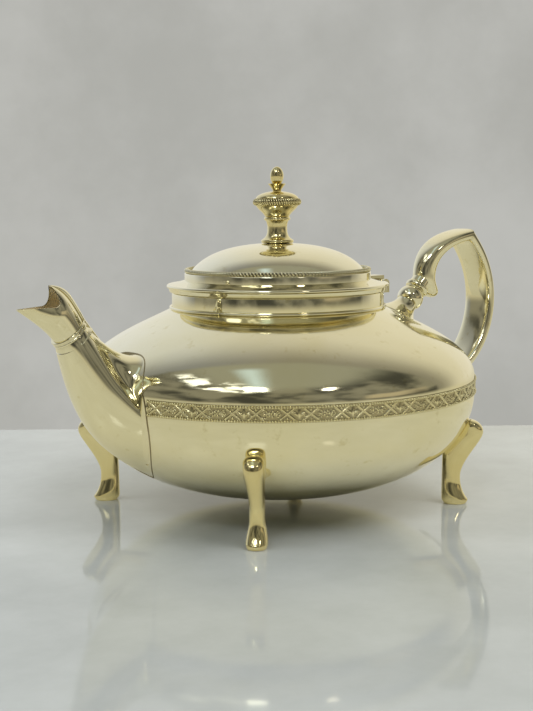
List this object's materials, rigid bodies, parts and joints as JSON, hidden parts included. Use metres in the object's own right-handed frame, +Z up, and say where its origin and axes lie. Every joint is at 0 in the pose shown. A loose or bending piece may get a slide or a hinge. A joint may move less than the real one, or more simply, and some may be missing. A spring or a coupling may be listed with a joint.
{
  "type": "teapot",
  "caption": "Footed teapot in polished silver plate with a duck-bill spout, strap handle and hinged domed lid, for brewing and pouring tea.",
  "frame": {"origin": "on the table, under the middle of the length from spout tip to handle", "axes": "+X towards the handle, -X towards the spout, +Z up; symmetric about the XZ plane"},
  "size_m": [0.257, 0.1722, 0.1462],
  "materials": {
    "plate": "polished silver plate on a copper alloy, warmed by light tarnish",
    "gilt": "polished cast fittings, more worn and brassier than the bowl"
  },
  "bodies": {
    "pot": {"bowl": "plate", "shoulder": "plate", "gallery_band": "gilt", "neck_collar": "plate", "neck_wire": "plate", "spout_shell": "plate", "spout_ring": "plate", "spout_lip": "plate", "spout_ridge": "gilt", "handle_saddle": "gilt", "handle_arm": "plate", "handle_back": "plate", "handle_lower_boss": "gilt", "foot_spout_left": "gilt", "foot_spout_right": "gilt", "foot_handle_left": "gilt", "foot_handle_right": "gilt", "hinge_pot_leaf": "plate", "hinge_pin": "plate"},
    "lid": {"hinge_lid_leaf": "plate", "lid_cover": "plate", "lid_rim": "plate", "lid_sleeve": "plate", "lid_rope": "gilt", "finial_stem": "gilt", "finial_urn": "gilt", "finial_rope": "gilt", "finial_bud": "gilt", "finial_stud": "gilt", "finial_washer": "gilt", "finial_nut": "gilt"}
  },
  "joints": [
    {"name": "lid_hinge", "type": "hinge", "parent": "pot", "child": "lid", "pos_m": [0.05445, 0, 0.0935], "axis": [0, 1, 0], "range_deg": [0, 105]}
  ]
}
